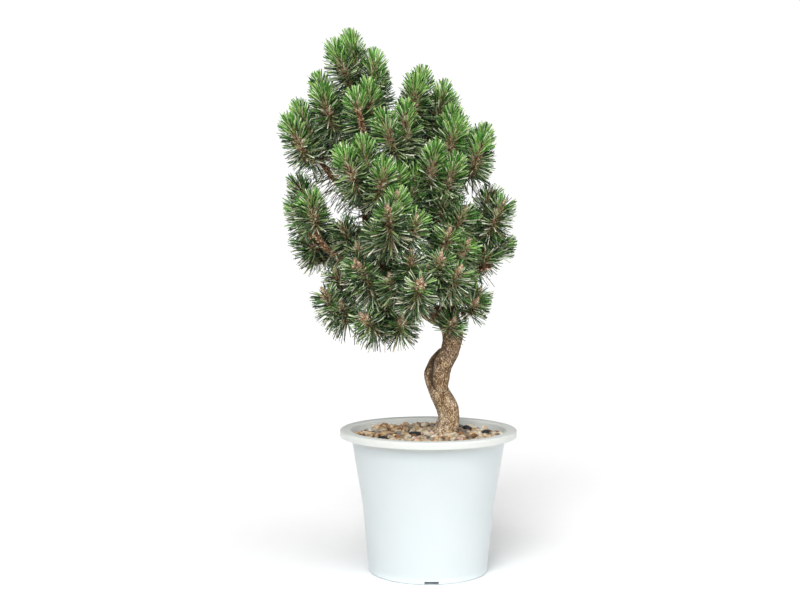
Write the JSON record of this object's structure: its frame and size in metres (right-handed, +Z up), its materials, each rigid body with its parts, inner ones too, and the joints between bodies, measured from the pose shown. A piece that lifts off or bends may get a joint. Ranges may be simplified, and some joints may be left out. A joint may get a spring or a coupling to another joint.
{
  "type": "potted dwarf mountain pine",
  "caption": "Dwarf mountain pine with a bent bare trunk and an upright, dense needle crown, growing in a white plastic pot mulched with gravel.",
  "frame": {"origin": "centre of the pot's flat underside, on the surface that the pot stands on", "axes": "+Z up the plant; the side seen in the picture faces -Y; +X to the viewer's right"},
  "size_m": [0.3782, 0.3458, 0.822],
  "materials": {
    "pot_plastic": "satin injection-moulded polypropylene, white with a faint blue cast",
    "potting_mix": "moist bark and peat potting mix",
    "gravel": "washed river gravel, tan, cream and brown",
    "bark": "flaking brown pine bark",
    "needles": "stiff green pine needles in pairs on brown twigs"
  },
  "bodies": {
    "root": {"bough_back_high": "bark", "bough_back_left": "bark", "bough_back_low": "bark", "bough_back_mid": "bark", "bough_back_right": "bark", "bough_back_upper": "bark", "bough_centre_front": "bark", "bough_front_right": "bark", "bough_low_front": "bark", "bough_low_left": "bark", "bough_mid_left": "bark", "bough_right_low": "bark", "bough_right_mid": "bark", "bough_right_top": "bark", "bough_small_left": "bark", "bough_upper_front": "bark", "bough_upper_left": "bark", "gravel": "gravel", "needles_back_core": "needles", "needles_back_high": "needles", "needles_back_inner": "needles", "needles_back_left": "needles", "needles_back_low": "needles", "needles_back_mid": "needles", "needles_back_right": "needles", "needles_back_upper": "needles", "needles_centre_front": "needles", "needles_centre_upper": "needles", "needles_crown_back": "needles", "needles_crown_front": "needles", "needles_crown_left": "needles", "needles_crown_right": "needles", "needles_crown_tip": "needles", "needles_fork_shoot": "needles", "needles_front_left": "needles", "needles_front_right": "needles", "needles_left_bud": "needles", "needles_left_inner": "needles", "needles_low_buds": "needles", "needles_low_front": "needles", "needles_low_left": "needles", "needles_low_right": "needles", "needles_mid_left": "needles", "needles_right_front": "needles", "needles_right_inner": "needles", "needles_right_low": "needles", "needles_right_mid": "needles", "needles_right_nest": "needles", "needles_right_top": "needles", "needles_second_front": "needles", "needles_second_left": "needles", "needles_second_low": "needles", "needles_second_right": "needles", "needles_second_tip": "needles", "needles_small_left": "needles", "needles_upper_front": "needles", "needles_upper_left": "needles", "pot": "pot_plastic", "potting_mix": "potting_mix", "trunk": "bark"}
  },
  "joints": []
}
